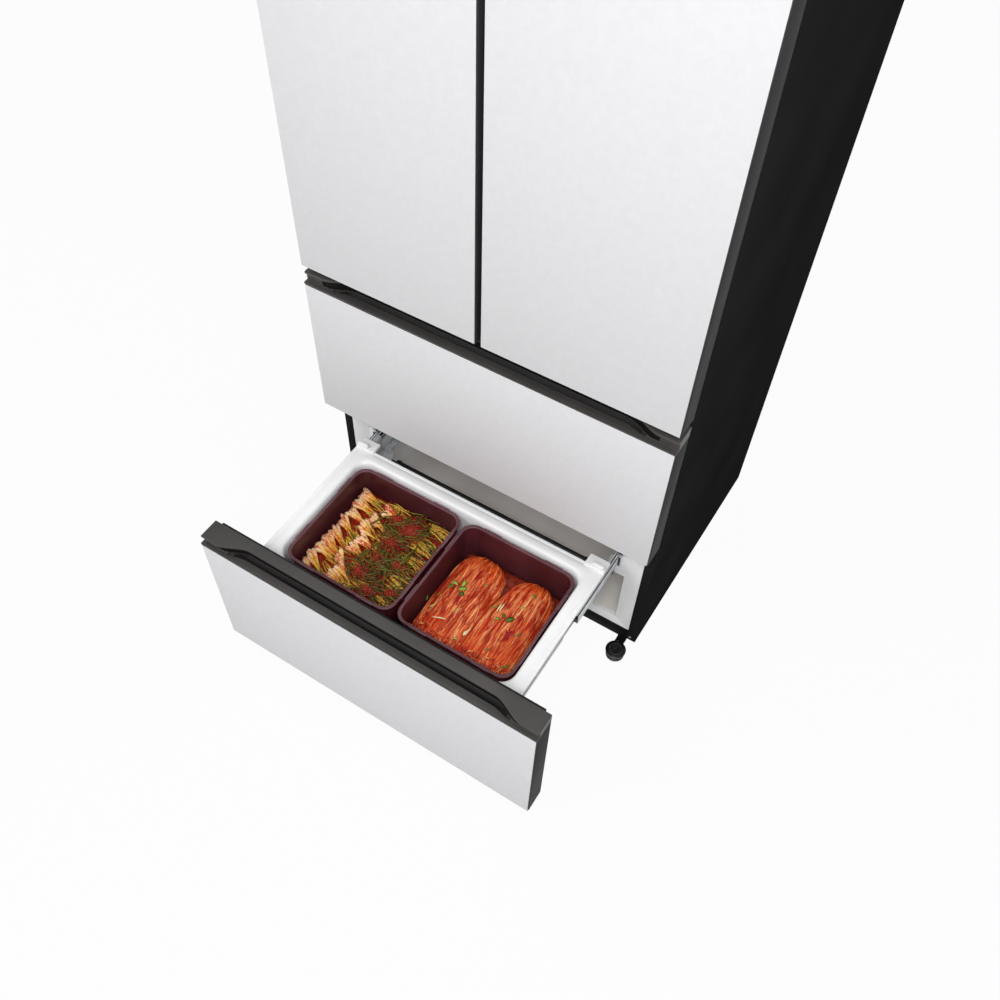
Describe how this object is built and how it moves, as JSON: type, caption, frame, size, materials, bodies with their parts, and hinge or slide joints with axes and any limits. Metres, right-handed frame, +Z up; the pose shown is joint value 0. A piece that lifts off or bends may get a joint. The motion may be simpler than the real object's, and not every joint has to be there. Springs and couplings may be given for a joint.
{
  "type": "kimchi refrigerator",
  "caption": "Free-standing kimchi refrigerator with hinged upper doors over pull-out drawers, the lowest open on telescopic slides with filled food containers.",
  "frame": {"origin": "on the floor, at the middle of the overall width and depth with the lower drawer open", "axes": "+Z up, -Y out of the doors, +X to the right of someone facing the doors"},
  "size_m": [0.834, 1.1062, 1.86],
  "materials": {
    "charcoal_steel": "dark charcoal pre-coated sheet steel, satin",
    "galvanised_steel": "galvanised sheet steel, dull",
    "black_steel": "black coated steel, satin",
    "front_panel": "light warm grey panel with a fine plaster-like grain, matte",
    "frame_grey": "dark grey moulded frame, matte",
    "cap_grey": "dark warm grey moulding, satin",
    "gasket": "black ribbed magnetic gasket, matte",
    "liner_white": "white vacuum-formed liner, semi-gloss",
    "bin_white": "white moulded bin, semi-gloss",
    "rail_steel": "zinc plated steel, bright",
    "floor_metal": "brushed metal plate, brownish grey",
    "foam": "rigid foam, pale yellow, matte",
    "shaft_black": "black moulded shaft and gears, satin",
    "burgundy": "burgundy translucent plastic, glossy",
    "onion_food": null,
    "cabbage_food": null,
    "machine_black": "black painted steel, satin",
    "shelf_glass": "clear tempered glass",
    "foot_black": "black moulded foot, matte",
    "roller_grey": "grey roller, matte"
  },
  "bodies": {
    "cabinet": {"outer_case": "charcoal_steel", "rear_panel": "galvanised_steel", "machine_cover": "galvanised_steel", "base_pan": "galvanised_steel", "front_sill": "black_steel", "foam_insulation": "foam", "upper_liner": "liner_white", "drawer_liner": "liner_white", "mullion_tee": "black_steel", "lower_crossbar": "black_steel", "lower_floor_plate": "floor_metal", "upper_shelf_right": "shelf_glass", "upper_shelf_left": "shelf_glass", "compressor": "machine_black", "condenser": "galvanised_steel", "top_cover": "frame_grey", "top_hinge_right": "black_steel", "top_hinge_left": "black_steel", "middle_hinge_right": "black_steel", "middle_hinge_left": "black_steel", "middle_drawer_outer_rail_right": "rail_steel", "middle_drawer_outer_rail_left": "rail_steel", "lower_drawer_outer_rail_right": "rail_steel", "lower_drawer_outer_rail_left": "rail_steel"},
    "fan": {"condenser_fan": "frame_grey"},
    "right_foot": {"foot_right": "foot_black"},
    "left_foot": {"foot_left": "foot_black"},
    "right_roller": {"roller_right": "roller_grey"},
    "left_roller": {"roller_left": "roller_grey"},
    "right_door": {"door_panel_right": "front_panel", "door_body_right": "frame_grey", "door_gasket_right": "gasket"},
    "left_door": {"door_panel_left": "front_panel", "door_body_left": "frame_grey", "door_gasket_left": "gasket"},
    "middle_drawer": {"middle_drawer_panel": "front_panel", "middle_drawer_body": "frame_grey", "middle_drawer_grip_cap": "cap_grey", "middle_drawer_gasket": "gasket", "middle_drawer_bin": "bin_white", "middle_drawer_runner_right": "rail_steel", "middle_drawer_runner_left": "rail_steel"},
    "middle_drawer_right_slide": {"middle_drawer_slide_member_right": "rail_steel"},
    "middle_drawer_left_slide": {"middle_drawer_slide_member_left": "rail_steel"},
    "middle_drawer_shaft": {"middle_drawer_sync_shaft": "shaft_black"},
    "lower_drawer": {"lower_drawer_panel": "front_panel", "lower_drawer_body": "frame_grey", "lower_drawer_grip_cap": "cap_grey", "lower_drawer_gasket": "gasket", "lower_drawer_bin": "bin_white", "lower_drawer_runner_right": "rail_steel", "lower_drawer_runner_left": "rail_steel", "container_right": "burgundy", "container_left": "burgundy", "green_onion_kimchi": "onion_food", "cabbage_kimchi": "cabbage_food"},
    "lower_drawer_right_slide": {"lower_drawer_slide_member_right": "rail_steel"},
    "lower_drawer_left_slide": {"lower_drawer_slide_member_left": "rail_steel"},
    "lower_drawer_shaft": {"lower_drawer_sync_shaft": "shaft_black"}
  },
  "joints": [
    {"name": "right_door_hinge", "type": "hinge", "parent": "cabinet", "child": "right_door", "pos_m": [0.397, -0.0869, 1.3], "axis": [0, 0, 1], "range_deg": [0, 110]},
    {"name": "left_door_hinge", "type": "hinge", "parent": "cabinet", "child": "left_door", "pos_m": [-0.397, -0.0869, 1.3], "axis": [0, 0, -1], "range_deg": [0, 110]},
    {"name": "middle_drawer_pull", "type": "slide", "parent": "cabinet", "child": "middle_drawer", "axis": [0, -1, 0], "range_m": [0, 0.4382]},
    {"name": "lower_drawer_pull", "type": "slide", "parent": "cabinet", "child": "lower_drawer", "axis": [0, -1, 0], "range_m": [-0.4382, 0]},
    {"name": "middle_drawer_right_slide_travel", "type": "slide", "parent": "cabinet", "child": "middle_drawer_right_slide", "axis": [0, -1, 0], "range_m": [0, 0.2192]},
    {"name": "middle_drawer_left_slide_travel", "type": "slide", "parent": "cabinet", "child": "middle_drawer_left_slide", "axis": [0, -1, 0], "range_m": [0, 0.2192]},
    {"name": "lower_drawer_right_slide_travel", "type": "slide", "parent": "cabinet", "child": "lower_drawer_right_slide", "axis": [0, -1, 0], "range_m": [-0.2192, 0]},
    {"name": "lower_drawer_left_slide_travel", "type": "slide", "parent": "cabinet", "child": "lower_drawer_left_slide", "axis": [0, -1, 0], "range_m": [-0.2192, 0]},
    {"name": "middle_drawer_shaft_turn", "type": "hinge", "parent": "middle_drawer", "child": "middle_drawer_shaft", "pos_m": [0, 0.3811, 0.6564], "axis": [1, 0, 0], "range_deg": [-2, 2791.7]},
    {"name": "lower_drawer_shaft_turn", "type": "hinge", "parent": "lower_drawer", "child": "lower_drawer_shaft", "pos_m": [0, -0.0571, 0.259], "axis": [1, 0, 0], "range_deg": [-2791.7, 2]},
    {"name": "right_foot_thread", "type": "hinge", "parent": "cabinet", "child": "right_foot", "pos_m": [0.387, -0.0919, 0.01], "axis": [0, 0, 1], "continuous": true},
    {"name": "left_foot_thread", "type": "hinge", "parent": "cabinet", "child": "left_foot", "pos_m": [-0.387, -0.0919, 0.01], "axis": [0, 0, 1], "continuous": true},
    {"name": "right_roller_axle", "type": "hinge", "parent": "cabinet", "child": "right_roller", "pos_m": [0.35, 0.4851, 0.02], "axis": [1, 0, 0], "continuous": true},
    {"name": "left_roller_axle", "type": "hinge", "parent": "cabinet", "child": "left_roller", "pos_m": [-0.35, 0.4851, 0.02], "axis": [1, 0, 0], "continuous": true},
    {"name": "fan_axle", "type": "hinge", "parent": "cabinet", "child": "fan", "pos_m": [-0.064, 0.4681, 0.108], "axis": [1, 0, 0], "continuous": true}
  ],
  "couplings": [
    {"joint": "middle_drawer_right_slide_travel", "follows": "middle_drawer_pull", "ratio": 0.5},
    {"joint": "middle_drawer_left_slide_travel", "follows": "middle_drawer_pull", "ratio": 0.5},
    {"joint": "lower_drawer_right_slide_travel", "follows": "lower_drawer_pull", "ratio": 0.5},
    {"joint": "lower_drawer_left_slide_travel", "follows": "lower_drawer_pull", "ratio": 0.5},
    {"joint": "middle_drawer_shaft_turn", "follows": "middle_drawer_pull", "rad_per_m": 111.11},
    {"joint": "lower_drawer_shaft_turn", "follows": "lower_drawer_pull", "rad_per_m": 111.11}
  ]
}
